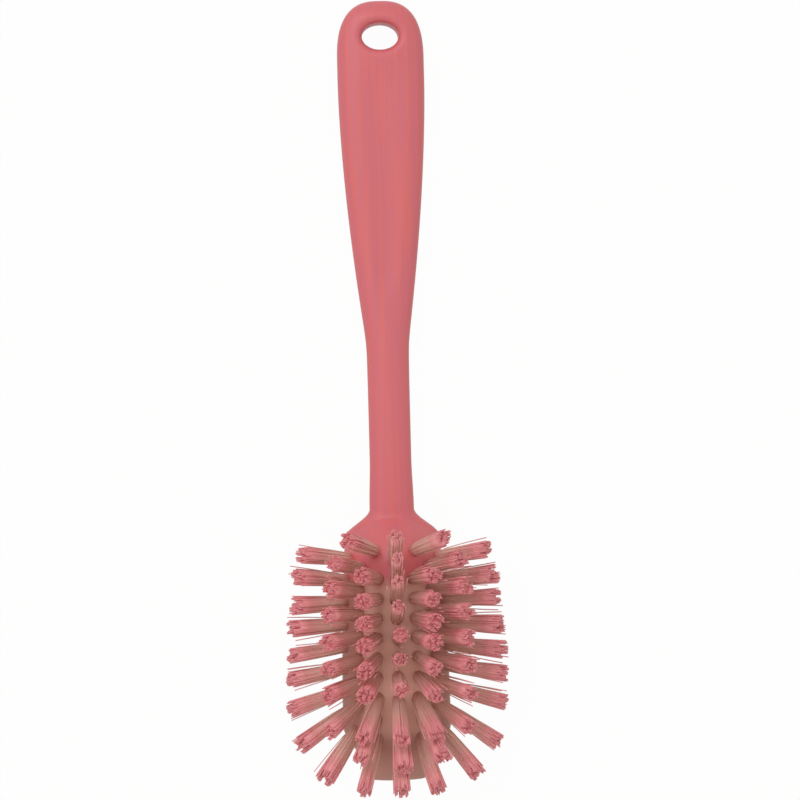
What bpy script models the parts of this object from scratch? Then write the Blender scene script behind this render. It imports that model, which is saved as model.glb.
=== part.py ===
"""Dish brush: a one-piece moulded handle and block, with bristle tufts pressed into its blind holes.

Metres, +Z up. The brush lies on its flat back with the bristles up: +Y runs along the handle to the
hanging hole, the bristled block is at -Y, and the origin is under the middle of the brush.
"""

import math
from collections import namedtuple

import bmesh
import bpy
from mathutils import Matrix, Vector

# Lengths along the handle, from its hanging end to the nose of the block
HANDLE_END_Y = 0.1380
GRIP_LENGTH = 0.1200
NECK_LENGTH = 0.0580
BLOCK_LENGTH = 0.0949
SHOULDER_LENGTH = 0.0100
NOSE_LENGTH = 0.0173
NOSE_TIP_LENGTH = 0.0031

# Grip: half its width, thickness, end rounding in plan and at the edge, and the dish in its front
GRIP_HALF_WIDTH = 0.0152
GRIP_THICKNESS = 0.0125
GRIP_SIDE_HEIGHT = 0.0060
GRIP_BACK_ROUND = 0.0085
GRIP_END_ROUND = 0.0210
GRIP_END_EDGE = 0.0080
GRIP_WIDEST_FROM_END = 0.0280
DISH_DEPTH = 0.0008
DISH_RIM = 0.0056
DISH_FOOT_FROM_NECK = 0.0120
DISH_HEAD_FROM_HOLE = 0.0050
DISH_RUNOUT = 0.0150

# Neck
NECK_HALF_WIDTH = 0.0073
NECK_THICKNESS = 0.0090
NECK_LIFT = 0.0012
NECK_SIDE_HEIGHT = 0.0054
NECK_BACK_ROUND = 0.0035
NECK_FLARE = 0.0005
NECK_FLARE_LENGTH = 0.0180

# Block: half widths at the shoulder, at the widest place and at the nose, and its dome
BLOCK_SHOULDER_HALF_WIDTH = 0.0167
BLOCK_HALF_WIDTH = 0.0190
BLOCK_NOSE_HALF_WIDTH = 0.0101
BLOCK_HEIGHT = 0.0220
BLOCK_SIDE_HEIGHT = 0.0030
BLOCK_BACK_ROUND = 0.0020
BLOCK_NOSE_HEIGHT = 0.0090
BLOCK_EDGE_ROUND = 0.0010
DOME_SETBACK = 0.0028
DOME_RISE_LENGTH = 0.0150
DOME_ARCH_RADIUS = 0.0170
DOME_FALL_LENGTH = 0.0290

# Roundness of the front in section: 2 is an ellipse, and higher is squarer
GRIP_FRONT_POWER = 2.6
NECK_FRONT_POWER = 2.2
BLOCK_FRONT_POWER = 2.1
END_ROUND_POWER = 2.6
GRIP_TAPER_POWER = 1.7
DISH_POWER = 1.5
CORNER_SOFTNESS = 0.0006
SHARP_EDGE_DEGREES = 35

# Hanging hole, an oval with filleted rims
HANGING_HOLE_HALF_WIDTH = 0.0064
HANGING_HOLE_HALF_LENGTH = 0.00465
HANGING_HOLE_FROM_END = 0.0128
HANGING_HOLE_FILLET = 0.0030

# Bristle tufts and the blind holes that hold them
TUFT_LENGTH = 0.0230
TUFT_ROOT_RADIUS = 0.0019
TUFT_TIP_RADIUS = 0.0026
TUFT_RAGGEDNESS = 0.0008
TUFT_COLLAR = 0.0006
STRAND_ROOT_RADIUS = 0.00050
STRAND_TIP_RADIUS = 0.00075
STRAND_MARGIN = 0.00005
HOLE_DEPTH = 0.0052
CLEARANCE = 0.0003

# Flat metal anchor across the fold of each tuft, which bites into both sides of the hole
ANCHOR_HALF_LENGTH = 0.0024
ANCHOR_THICKNESS = 0.0005
ANCHOR_HEIGHT = 0.0014

# Sections along the handle: turns of those in each rounded end in degrees, and counts between
GRIP_END_TURNS = (4, 12, 22, 33, 45, 58, 74)
NOSE_EDGE_TURNS = (0, 35, 65, 90)
GRIP_HEAD_SECTIONS = 6
GRIP_SECTIONS = 10
NECK_SECTIONS = 5
DOME_RISE_SECTIONS = 10
BLOCK_SECTIONS = 5
NOSE_SECTIONS = 8

# Counts of facets
FRONT_STEPS = 16
CORNER_STEPS = 3
TUFT_SIDES = 8
STRAND_SIDES = 3
STRANDS_AROUND = 6
HANGING_HOLE_STEPS = 24
FILLET_STEPS = 4
PATH_STEPS = 40

# The outer and middle rows of tufts run from beside the neck down one side and round the nose, the
# inner row is a straight column, and all three are mirrored. Distances in from the block's side,
# shoulder and nose to the row, its bend round the nose, and the corner that it cuts beside the neck
OUTER_EDGE = 0.0011
OUTER_FIRST = 0.0170
OUTER_LAST = 0.0154
OUTER_BEND = 0.0060
OUTER_CORNER_IN = 0.0008
OUTER_CORNER_LENGTH = 0.0060
MIDDLE_EDGE = 0.0057
MIDDLE_FIRST = 0.0141
MIDDLE_LAST = 0.0224
MIDDLE_BEND = 0.0046
MIDDLE_CORNER_IN = 0.0045
MIDDLE_CORNER_LENGTH = 0.0080
INNER_EDGE = 0.0117
INNER_FIRST = 0.0237
INNER_LAST = 0.0374
CROWN_FIRST = 0.0183
CROWN_LAST = 0.0376

# turn is the share of a row at which its tufts begin to turn towards the nose. In degrees, fan is the
# plan angle and lean the height angle of a tuft at the row's start, at the turn and at the row's end.
Row = namedtuple("Row", "name count edge first last bend corner_in corner_length turn fan lean")
ROWS = (
    Row(
        "outer", 21, OUTER_EDGE, OUTER_FIRST, OUTER_LAST, OUTER_BEND, OUTER_CORNER_IN, OUTER_CORNER_LENGTH,
        turn=0.58, fan=(10, -11, -90), lean=(39, 23, 43),
    ),
    Row(
        "middle", 19, MIDDLE_EDGE, MIDDLE_FIRST, MIDDLE_LAST, MIDDLE_BEND,
        MIDDLE_CORNER_IN, MIDDLE_CORNER_LENGTH,
        turn=0.70, fan=(25, -17, -90), lean=(59, 56, 48),
    ),
    Row(
        "inner", 12, INNER_EDGE, INNER_FIRST, INNER_LAST, bend=0.0, corner_in=0.0, corner_length=0.0,
        turn=0.60, fan=(20, -9, -44), lean=(72, 76, 71),
    ),
)
CROWN_COUNT = 7
CROWN_LEAN = (29, -7)
CROWN_LEAN_POWER = 1.5

# Places along Y that follow from the lengths
GRIP_WIDEST_Y = HANDLE_END_Y - GRIP_WIDEST_FROM_END
NECK_TOP_Y = HANDLE_END_Y - GRIP_LENGTH
SHOULDER_Y = NECK_TOP_Y - NECK_LENGTH
BLOCK_END_Y = SHOULDER_Y - BLOCK_LENGTH
NOSE_START_Y = BLOCK_END_Y + NOSE_LENGTH
NOSE_TIP_Y = BLOCK_END_Y + NOSE_TIP_LENGTH
HANGING_HOLE_Y = HANDLE_END_Y - HANGING_HOLE_FROM_END

PINK_PLASTIC = (0.60, 0.15, 0.17, 1.0)
PINK_BRISTLE = (0.52, 0.15, 0.16, 1.0)
PLASTIC_ROUGHNESS = 0.35
BRISTLE_ROUGHNESS = 0.5


def share(value, start, end):
    """How far value is from start towards end, held between 0 and 1."""
    return min(max((value - start) / (end - start), 0.0), 1.0)


def ramp(value, start, end):
    """Smooth rise from 0 at start to 1 at end, level at both."""
    t = share(value, start, end)
    return t * t * (3.0 - 2.0 * t)


def blend(low, high, t):
    return low + (high - low) * t


def soft_max(a, b):
    """The larger of two sizes, with the corner between them rounded off."""
    return 0.5 * (a + b + math.hypot(a - b, CORNER_SOFTNESS))


def soft_min(a, b):
    return 0.5 * (a + b - math.hypot(a - b, CORNER_SOFTNESS))


def round_off(t, power):
    """Fall of a superelliptic end from 1 at t = 0 to 0 at t = 1."""
    return max(1.0 - t**power, 0.0) ** (1.0 / power)


def end_share(y, length):
    """How far y is into the last length of the handle's hanging end."""
    return share(y, HANDLE_END_Y - length, HANDLE_END_Y)


def nose_inset(y):
    """How far the rounded edge of the block's flat end draws the section in at y."""
    depth = max(BLOCK_END_Y + BLOCK_EDGE_ROUND - y, 0.0)
    return BLOCK_EDGE_ROUND - math.sqrt(max(BLOCK_EDGE_ROUND**2 - depth**2, 0.0))


def half_width(y):
    """Half of the brush's width at y, before either end is rounded."""
    taper = max((GRIP_WIDEST_Y - y) / (GRIP_WIDEST_Y - NECK_TOP_Y), 0.0)
    grip = GRIP_HALF_WIDTH - (GRIP_HALF_WIDTH - NECK_HALF_WIDTH) * taper**GRIP_TAPER_POWER
    handle = soft_max(grip, NECK_HALF_WIDTH)
    handle += NECK_FLARE * ramp(y, SHOULDER_Y + NECK_FLARE_LENGTH, SHOULDER_Y)
    along = share(y, SHOULDER_Y - SHOULDER_LENGTH, NOSE_START_Y)
    block = blend(BLOCK_HALF_WIDTH, BLOCK_SHOULDER_HALF_WIDTH, (1.0 - along) ** 2)
    width = blend(handle, block, ramp(y, SHOULDER_Y, SHOULDER_Y - SHOULDER_LENGTH))
    slope = (BLOCK_HALF_WIDTH - BLOCK_NOSE_HALF_WIDTH) / (NOSE_START_Y - NOSE_TIP_Y)
    nose = soft_max(BLOCK_NOSE_HALF_WIDTH + (y - NOSE_TIP_Y) * slope, BLOCK_NOSE_HALF_WIDTH)
    return soft_min(width, nose)


def zone_blend(grip, neck, block, y):
    """A size that changes smoothly from grip to neck to block."""
    handle = blend(grip, neck, ramp(y, GRIP_WIDEST_Y, NECK_TOP_Y))
    return blend(handle, block, ramp(y, SHOULDER_Y, SHOULDER_Y - SHOULDER_LENGTH))


def crest_height(x, y):
    """Height of the front's crest: grip, neck, then the dome of the block, which starts on an arch."""
    neck_top = NECK_LIFT + NECK_THICKNESS
    handle = blend(GRIP_THICKNESS, neck_top, ramp(y, GRIP_WIDEST_Y, NECK_TOP_Y))
    rise_start = SHOULDER_Y - DOME_SETBACK - x**2 / (2.0 * DOME_ARCH_RADIUS)
    rise = share(y, rise_start, rise_start - DOME_RISE_LENGTH)
    fall = share(y, BLOCK_END_Y + DOME_FALL_LENGTH, BLOCK_END_Y)
    dome = blend(handle, BLOCK_HEIGHT, math.sin(0.5 * math.pi * rise))
    return BLOCK_NOSE_HEIGHT + (dome - BLOCK_NOSE_HEIGHT) * round_off(fall, 2.0)


def dish(x, y):
    """Depth of the shallow dish in the grip's front, which leaves a raised rim around it."""
    foot = NECK_TOP_Y + DISH_FOOT_FROM_NECK
    head = HANGING_HOLE_Y - DISH_HEAD_FROM_HOLE
    reach = half_width(y) - DISH_RIM
    if abs(x) >= reach:
        return 0.0
    ends = ramp(y, foot, foot + DISH_RUNOUT) * ramp(y, head, head - DISH_RUNOUT)
    return DISH_DEPTH * (1.0 - (x / reach) ** 2) ** DISH_POWER * ends


def front_height(x, y):
    """Height of the front surface over a place in plan."""
    side = zone_blend(GRIP_SIDE_HEIGHT, NECK_SIDE_HEIGHT, BLOCK_SIDE_HEIGHT, y)
    power = zone_blend(GRIP_FRONT_POWER, NECK_FRONT_POWER, BLOCK_FRONT_POWER, y)
    width = half_width(y)
    return side + (crest_height(x, y) - side) * round_off(min(abs(x) / width, 1.0), power) - dish(x, y)


def section(y):
    """Closed outline of the brush at y: the domed front, then the rounded corners of the back."""
    inset = nose_inset(y)
    plan = round_off(end_share(y, GRIP_END_ROUND), END_ROUND_POWER)
    edge = round_off(end_share(y, GRIP_END_EDGE), 2.0)
    width = half_width(y)
    side = zone_blend(GRIP_SIDE_HEIGHT, NECK_SIDE_HEIGHT, BLOCK_SIDE_HEIGHT, y)
    power = zone_blend(GRIP_FRONT_POWER, NECK_FRONT_POWER, BLOCK_FRONT_POWER, y)
    back = NECK_LIFT * ramp(y, SHOULDER_Y, NECK_TOP_Y) * ramp(y, GRIP_WIDEST_Y, NECK_TOP_Y)
    corner = min(zone_blend(GRIP_BACK_ROUND, NECK_BACK_ROUND, BLOCK_BACK_ROUND, y), width)
    points = []
    for i in range(FRONT_STEPS + 1):
        turn = math.pi * i / FRONT_STEPS
        x = math.copysign(abs(math.cos(turn)) ** (2.0 / power), math.cos(turn)) * width
        points.append((x, front_height(x, y)))
    for sign in (-1.0, 1.0):
        for i in range(CORNER_STEPS):
            turn = 0.5 * math.pi * (i + (sign < 0)) / CORNER_STEPS
            reach = math.cos(turn) if sign < 0 else math.sin(turn)
            drop = math.sin(turn) if sign < 0 else math.cos(turn)
            points.append((sign * (width - corner + corner * reach), side - (side - back) * drop))
    shrink = 1.0 - inset / width
    return [Vector((x * plan * shrink, y, side + (z - side) * edge * shrink)) for x, z in points]


def spread(start, end, steps):
    return [blend(start, end, i / steps) for i in range(steps)]


def stations():
    """Places of the sections, closer together where the outline turns faster."""
    end_turns = [math.radians(a) for a in GRIP_END_TURNS]
    places = [HANDLE_END_Y - GRIP_END_EDGE * (1.0 - math.cos(a)) for a in end_turns]
    places += spread(HANDLE_END_Y - GRIP_END_EDGE, GRIP_WIDEST_Y, GRIP_HEAD_SECTIONS)
    places += spread(GRIP_WIDEST_Y, NECK_TOP_Y, GRIP_SECTIONS)
    places += spread(NECK_TOP_Y, SHOULDER_Y, NECK_SECTIONS)
    dome_top = SHOULDER_Y - DOME_SETBACK - DOME_RISE_LENGTH
    places += spread(SHOULDER_Y, dome_top, DOME_RISE_SECTIONS)
    places += spread(dome_top, NOSE_START_Y, BLOCK_SECTIONS)
    places += spread(NOSE_START_Y, BLOCK_END_Y + BLOCK_EDGE_ROUND, NOSE_SECTIONS)
    nose_turns = [math.radians(a) for a in NOSE_EDGE_TURNS]
    places += [BLOCK_END_Y + BLOCK_EDGE_ROUND * (1.0 - math.sin(a)) for a in nose_turns]
    return places


def new_object(name, mesh, collection, material=None):
    thing = bpy.data.objects.new(name, mesh)
    collection.objects.link(thing)
    if material and not mesh.materials:
        mesh.materials.append(material)
    return thing


def finish_mesh(builder, name):
    """A mesh from a bmesh, with faces out, smooth on its rounds and sharp at its edges."""
    bmesh.ops.recalc_face_normals(builder, faces=builder.faces)
    mesh = bpy.data.meshes.new(name)
    builder.to_mesh(mesh)
    builder.free()
    mesh.shade_smooth()
    mesh.set_sharp_from_angle(angle=math.radians(SHARP_EDGE_DEGREES))
    return mesh


def loft(name, rings):
    """A closed solid through rings of equal point count, with a flat cap at each end."""
    builder = bmesh.new()
    loops = [[builder.verts.new(point) for point in ring] for ring in rings]
    count = len(loops[0])
    for near, far in zip(loops, loops[1:]):
        for i in range(count):
            builder.faces.new((near[i], near[(i + 1) % count], far[(i + 1) % count], far[i]))
    builder.faces.new(loops[0])
    builder.faces.new(loops[-1])
    return finish_mesh(builder, name)


def hanging_hole_mesh():
    """Cutter of the hanging hole: an oval prism that flares at both faces to fillet the rims."""
    heights = []
    for i in range(FILLET_STEPS + 1):
        turn = 0.5 * math.pi * i / FILLET_STEPS
        depth = HANGING_HOLE_FILLET * (1.0 - math.sin(turn))
        flare = HANGING_HOLE_FILLET * (1.0 - math.cos(turn))
        heights.append((depth, flare))
    margin = HANGING_HOLE_FILLET
    levels = [(-margin, HANGING_HOLE_FILLET + margin)]
    levels += [(depth, flare) for depth, flare in reversed(heights)]
    levels += [(GRIP_THICKNESS - depth, flare) for depth, flare in heights]
    levels += [(GRIP_THICKNESS + margin, HANGING_HOLE_FILLET + margin)]
    rings = []
    for z, flare in levels:
        ring = []
        for i in range(HANGING_HOLE_STEPS):
            turn = 2.0 * math.pi * i / HANGING_HOLE_STEPS
            x = (HANGING_HOLE_HALF_WIDTH + flare) * math.cos(turn)
            y = HANGING_HOLE_Y + (HANGING_HOLE_HALF_LENGTH + flare) * math.sin(turn)
            ring.append(Vector((x, y, z)))
        rings.append(ring)
    return loft("hanging_hole", rings)


def add_cylinder(builder, radius, low, high, sides):
    """An upright cylinder with the middle of a facet on each side of the X axis."""
    place = Matrix.Translation((0.0, 0.0, 0.5 * (low + high))) @ Matrix.Rotation(math.pi / sides, 4, "Z")
    bmesh.ops.create_cone(
        builder, cap_ends=True, segments=sides, radius1=radius, radius2=radius, depth=high - low, matrix=place
    )


def add_box(builder, size, centre):
    place = Matrix.Translation(centre) @ Matrix.Diagonal((*size, 1.0))
    bmesh.ops.create_cube(builder, size=1.0, matrix=place)


def united(name, pieces, collection):
    """One closed mesh from several overlapping ones, by Boolean unions on the first."""
    objects = [new_object(f"{name}_{i}", mesh, collection) for i, mesh in enumerate(pieces)]
    for tool in objects[1:]:
        union = objects[0].modifiers.new("union", "BOOLEAN")
        union.operation = "UNION"
        union.object = tool
    bpy.context.view_layer.update()
    evaluated = objects[0].evaluated_get(bpy.context.evaluated_depsgraph_get())
    mesh = bpy.data.meshes.new_from_object(evaluated)
    mesh.name = name
    for thing in objects:
        bpy.data.objects.remove(thing)
    return mesh


def strands():
    """The filaments of a tuft as a middle strand and a ring of strands that spread to the tip."""
    builder = bmesh.new()
    ring = TUFT_ROOT_RADIUS * math.cos(math.pi / TUFT_SIDES) - STRAND_ROOT_RADIUS - STRAND_MARGIN
    for i in range(STRANDS_AROUND + 1):
        turn = 2.0 * math.pi * i / STRANDS_AROUND
        side = Vector((math.cos(turn), math.sin(turn), 0.0)) * min(STRANDS_AROUND - i, 1)
        foot = side * ring + Vector((0.0, 0.0, 0.5 * TUFT_COLLAR))
        tip = side * TUFT_TIP_RADIUS + Vector((0.0, 0.0, TUFT_LENGTH - TUFT_RAGGEDNESS * (i % 3)))
        along = tip - foot
        turned = along.to_track_quat("Z", "X").to_matrix().to_4x4()
        bmesh.ops.create_cone(
            builder,
            cap_ends=True,
            segments=STRAND_SIDES,
            radius1=STRAND_ROOT_RADIUS,
            radius2=STRAND_TIP_RADIUS,
            depth=along.length,
            matrix=Matrix.Translation((foot + tip) * 0.5) @ turned,
        )
    return finish_mesh(builder, "strands")


def tuft_mesh(collection):
    """A tuft along +Z with its root on the block's surface at z = 0, and its anchor at the bottom."""
    bottom = CLEARANCE - HOLE_DEPTH
    root = bmesh.new()
    add_cylinder(root, TUFT_ROOT_RADIUS, bottom, TUFT_COLLAR, TUFT_SIDES)
    anchor = bmesh.new()
    size = (2.0 * ANCHOR_HALF_LENGTH, ANCHOR_THICKNESS, ANCHOR_HEIGHT)
    add_box(anchor, size, (0.0, 0.0, bottom + CLEARANCE + 0.5 * ANCHOR_HEIGHT))
    pieces = [finish_mesh(root, "root"), finish_mesh(anchor, "anchor"), strands()]
    return united("bristle_tuft", pieces, collection)


def hole_mesh(collection):
    """Cutter of a tuft's blind hole, with the slots that the anchor bites into its sides."""
    bore = bmesh.new()
    add_cylinder(bore, TUFT_ROOT_RADIUS + CLEARANCE, -HOLE_DEPTH, HOLE_DEPTH, TUFT_SIDES)
    slot = bmesh.new()
    reach = ANCHOR_HALF_LENGTH + CLEARANCE
    height = ANCHOR_HEIGHT + 2.0 * CLEARANCE
    size = (2.0 * reach, ANCHOR_THICKNESS + 2.0 * CLEARANCE, height)
    add_box(slot, size, (0.0, 0.0, CLEARANCE - HOLE_DEPTH + 0.5 * height))
    return united("tuft_hole", [finish_mesh(bore, "bore"), finish_mesh(slot, "slot")], collection)


def row_path(row):
    """Fine points of a row on its right side: corner by the neck, straight side, any bend at the nose."""
    top = SHOULDER_Y - row.first
    bend_y = BLOCK_END_Y + row.last + row.bend
    path = []
    for i in range(PATH_STEPS + 1):
        y = blend(top, bend_y, i / PATH_STEPS)
        corner = 0.0
        if row.corner_in:
            corner = row.corner_in * (1.0 - math.sqrt(1.0 - share(y, top - row.corner_length, top) ** 2))
        path.append(Vector((half_width(y) - row.edge - corner, y, 0.0)))
    side = half_width(bend_y) - row.edge
    if row.bend:
        for i in range(1, PATH_STEPS + 1):
            turn = 0.5 * math.pi * i / PATH_STEPS
            path.append(Vector((side * math.cos(turn), bend_y - row.bend * math.sin(turn), 0.0)))
    return path


def even_places(path, count):
    """Places at equal distances along a path, each with the path's direction there."""
    lengths = [0.0]
    for near, far in zip(path, path[1:]):
        lengths.append(lengths[-1] + (far - near).length)
    places = []
    for i in range(count):
        target = lengths[-1] * i / (count - 1)
        k = next(j for j in range(1, len(path)) if lengths[j] >= target - 1e-9)
        t = share(target, lengths[k - 1], lengths[k])
        places.append((path[k - 1].lerp(path[k], t), (path[k] - path[k - 1]).normalized()))
    return places


def pointing(plan_angle, height_angle):
    """Unit direction from a plan angle, counted from +X to +Y, and an angle above the back."""
    level = math.cos(height_angle)
    return Vector((level * math.cos(plan_angle), level * math.sin(plan_angle), math.sin(height_angle)))


def knot_blend(start, middle, end, turn, t):
    """A value that runs straight from start to middle at t = turn, and on to end at t = 1."""
    if t < turn:
        return blend(start, middle, t / turn)
    return blend(middle, end, (t - turn) / (1.0 - turn))


def row_tufts(row):
    """Root, direction and row tangent of each tuft of a mirrored row, from right to left.

    A row with an odd count has its middle tuft on the centre line, at the nose.
    """
    places = even_places(row_path(row), (row.count + 1) // 2)
    right = []
    for i, (place, tangent) in enumerate(places):
        t = i / (len(places) - 1)
        plan = math.radians(knot_blend(*row.fan, row.turn, t))
        lean = math.radians(knot_blend(*row.lean, row.turn, t))
        root = Vector((place.x, place.y, front_height(place.x, place.y)))
        right.append((root, pointing(plan, lean), tangent))
    flip = Vector((-1.0, 1.0, 1.0))
    paired = right[: row.count // 2]
    left = [(root * flip, aim * flip, tangent * flip) for root, aim, tangent in reversed(paired)]
    return right + left


def crown_tufts():
    """The single line of tufts along the top of the dome."""
    tufts = []
    for i in range(CROWN_COUNT):
        t = i / (CROWN_COUNT - 1)
        y = blend(SHOULDER_Y - CROWN_FIRST, BLOCK_END_Y + CROWN_LAST, t)
        lean = math.radians(blend(*CROWN_LEAN, t**CROWN_LEAN_POWER))
        root = Vector((0.0, y, front_height(0.0, y)))
        tufts.append((root, Vector((0.0, math.sin(lean), math.cos(lean))), Vector((0.0, -1.0, 0.0))))
    return tufts


def tuft_placement(root, aim, tangent):
    """Place of a tuft with +Z along aim and its anchor, on X, along the row."""
    anchor = (tangent - aim * tangent.dot(aim)).normalized()
    turned = Matrix((anchor, aim.cross(anchor), aim)).transposed()
    return Matrix.Translation(root) @ turned.to_4x4()


def plastic(name, colour, roughness):
    material = bpy.data.materials.new(name)
    material.use_nodes = True
    shader = material.node_tree.nodes["Principled BSDF"]
    shader.inputs["Base Color"].default_value = colour
    shader.inputs["Roughness"].default_value = roughness
    shader.inputs["Metallic"].default_value = 0.0
    return material


def new_collection(name):
    collection = bpy.data.collections.new(name)
    bpy.context.scene.collection.children.link(collection)
    return collection


def mark_cutter(thing):
    thing.hide_render = True
    thing.display_type = "WIRE"


def main():
    for thing in list(bpy.data.objects):
        bpy.data.objects.remove(thing)
    brush = new_collection("dish_brush")
    cutters = new_collection("dish_brush_cutters")
    bristle = plastic("bristle", PINK_BRISTLE, BRISTLE_ROUGHNESS)
    moulded = plastic("moulded_plastic", PINK_PLASTIC, PLASTIC_ROUGHNESS)

    handle_mesh = loft("handle_and_block", [section(y) for y in stations()])
    handle = new_object("handle_and_block", handle_mesh, brush, moulded)

    tuft = tuft_mesh(cutters)
    tuft_hole = hole_mesh(cutters)
    mark_cutter(new_object("cut_hanging_hole", hanging_hole_mesh(), cutters))
    rows = {row.name: row_tufts(row) for row in ROWS}
    rows["crown"] = crown_tufts()
    for row_name, tufts in rows.items():
        for number, (root, aim, tangent) in enumerate(tufts, start=1):
            place = tuft_placement(root, aim, tangent)
            new_object(f"bristle_tuft_{row_name}_{number:02d}", tuft, brush, bristle).matrix_world = place
            cutter = new_object(f"cut_{row_name}_{number:02d}", tuft_hole, cutters)
            cutter.matrix_world = place
            mark_cutter(cutter)

    cut = handle.modifiers.new("holes", "BOOLEAN")
    cut.operation = "DIFFERENCE"
    cut.operand_type = "COLLECTION"
    cut.collection = cutters


main()
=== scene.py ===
"""Looks of the dish brush: a fine skin over the moulded handle and block, a bundle of real filaments
for each tuft, their finishes, and the photograph's light and camera.

Metres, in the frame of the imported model: +Y runs along the handle to the hanging hole, +Z points
from the flat back to the bristles, and the brush lies on z = 0.
"""

import math

import bmesh
import bpy
import numpy as np
from mathutils import Matrix, Vector


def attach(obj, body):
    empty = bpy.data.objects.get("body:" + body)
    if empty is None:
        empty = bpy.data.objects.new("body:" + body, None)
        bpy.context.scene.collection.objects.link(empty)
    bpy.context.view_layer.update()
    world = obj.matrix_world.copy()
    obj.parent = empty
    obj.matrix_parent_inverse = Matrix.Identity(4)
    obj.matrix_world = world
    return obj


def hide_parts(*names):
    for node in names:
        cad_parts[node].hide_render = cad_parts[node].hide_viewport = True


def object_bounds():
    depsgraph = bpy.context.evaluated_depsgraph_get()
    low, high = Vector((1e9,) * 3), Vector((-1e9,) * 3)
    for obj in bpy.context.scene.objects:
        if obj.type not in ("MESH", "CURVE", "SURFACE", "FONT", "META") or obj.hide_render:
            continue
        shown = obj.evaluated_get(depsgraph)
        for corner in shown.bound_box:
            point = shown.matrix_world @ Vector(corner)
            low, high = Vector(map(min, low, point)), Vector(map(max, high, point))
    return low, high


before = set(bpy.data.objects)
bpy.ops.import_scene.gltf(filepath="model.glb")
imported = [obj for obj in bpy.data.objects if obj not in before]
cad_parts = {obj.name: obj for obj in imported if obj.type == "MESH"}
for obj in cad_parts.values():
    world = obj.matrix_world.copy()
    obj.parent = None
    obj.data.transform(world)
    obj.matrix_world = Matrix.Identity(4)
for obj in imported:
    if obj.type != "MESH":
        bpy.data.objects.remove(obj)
cad_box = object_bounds()

# Lengths along the handle, the same as the solid's
HANDLE_END_Y = 0.1380
GRIP_LENGTH = 0.1200
NECK_LENGTH = 0.0580
BLOCK_LENGTH = 0.0949
SHOULDER_LENGTH = 0.0100
NOSE_LENGTH = 0.0173
NOSE_TIP_LENGTH = 0.0031

# Grip
GRIP_HALF_WIDTH = 0.0152
GRIP_THICKNESS = 0.0125
GRIP_SIDE_HEIGHT = 0.0060
GRIP_BACK_ROUND = 0.0085
GRIP_END_ROUND = 0.0210
GRIP_END_EDGE = 0.0080
GRIP_WIDEST_FROM_END = 0.0280
DISH_DEPTH = 0.0008
DISH_RIM = 0.0056
DISH_FOOT_FROM_NECK = 0.0120
DISH_HEAD_FROM_HOLE = 0.0050
DISH_RUNOUT = 0.0150

# Neck
NECK_HALF_WIDTH = 0.0073
NECK_THICKNESS = 0.0090
NECK_LIFT = 0.0012
NECK_SIDE_HEIGHT = 0.0054
NECK_BACK_ROUND = 0.0035
NECK_FLARE = 0.0005
NECK_FLARE_LENGTH = 0.0180

# Block
BLOCK_SHOULDER_HALF_WIDTH = 0.0167
BLOCK_HALF_WIDTH = 0.0190
BLOCK_NOSE_HALF_WIDTH = 0.0101
BLOCK_HEIGHT = 0.0220
BLOCK_SIDE_HEIGHT = 0.0030
BLOCK_BACK_ROUND = 0.0020
BLOCK_NOSE_HEIGHT = 0.0090
BLOCK_EDGE_ROUND = 0.0010
DOME_SETBACK = 0.0028
DOME_RISE_LENGTH = 0.0150
DOME_ARCH_RADIUS = 0.0170
DOME_FALL_LENGTH = 0.0290
DOME_FOOT_SOFTNESS = 0.0006

# Roundness in section and in plan: 2 is an ellipse, and higher is squarer
ELLIPSE_POWER = 2.0
GRIP_FRONT_POWER = 2.6
NECK_FRONT_POWER = 2.2
BLOCK_FRONT_POWER = 2.1
END_ROUND_POWER = 2.6

# Curves of the grip's taper and of its dish across, and the softness of corners in plan
GRIP_TAPER_POWER = 1.7
DISH_POWER = 1.5
CORNER_SOFTNESS = 0.0006

# Least share of the width at the very ends, where the shape closes to nothing
LEAST_SHRINK = 1e-6

# Hanging hole, an oval with filleted rims
HANGING_HOLE_HALF_WIDTH = 0.0064
HANGING_HOLE_HALF_LENGTH = 0.00465
HANGING_HOLE_FROM_END = 0.0128
HANGING_HOLE_FILLET = 0.0030

# Places along Y that follow from the lengths
GRIP_WIDEST_Y = HANDLE_END_Y - GRIP_WIDEST_FROM_END
NECK_TOP_Y = HANDLE_END_Y - GRIP_LENGTH
SHOULDER_Y = NECK_TOP_Y - NECK_LENGTH
BLOCK_END_Y = SHOULDER_Y - BLOCK_LENGTH
NOSE_START_Y = BLOCK_END_Y + NOSE_LENGTH
NOSE_TIP_Y = BLOCK_END_Y + NOSE_TIP_LENGTH
HANGING_HOLE_Y = HANDLE_END_Y - HANGING_HOLE_FROM_END

# Fine grid of the skin: columns across, rows of each stretch from the grip to the nose's edge, and the
# rings and segments of the hanging end
COLUMNS = 100
GRIP_ROWS = 72
NECK_ROWS = 32
SHOULDER_ROWS = 10
DOME_RISE_ROWS = 44
DOME_FALL_ROWS = 130
NOSE_ROWS = 34
NOSE_EDGE_ROWS = 7
END_SEGMENTS = 112
END_SIDE_ROWS = 5
FILLET_RINGS = 8
BODY_RINGS = 16
END_PATCH_BELOW_HOLE = 0.0130
END_PATCH_Y = HANGING_HOLE_Y - END_PATCH_BELOW_HOLE

# Points of the skin that are this close are one point
SAME_PLACE = 1e-7

# Millimetres in a metre, for the distance from the parting line
MILLIMETRES = 1000.0

# Measuring a tuft's node: what counts as its bottom and its tips, and how deep its root is sunk
BOTTOM_SLICE = 0.0001
TIP_SLICE = 0.0030
ROOT_SUNK = 0.0049

# Tufts beyond the solids' fifty-nine: a pair and a middle one between the inner row and the nose.
# Distances from the centre line and the block's end, and plan and height angles in degrees
NOSE_PAIR_X = 0.0067
NOSE_PAIR_FROM_END = 0.0300
NOSE_PAIR_AIM = (-64.0, 54.0)
NOSE_MIDDLE_FROM_END = 0.0298
NOSE_MIDDLE_AIM = (-90.0, 57.0)

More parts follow.
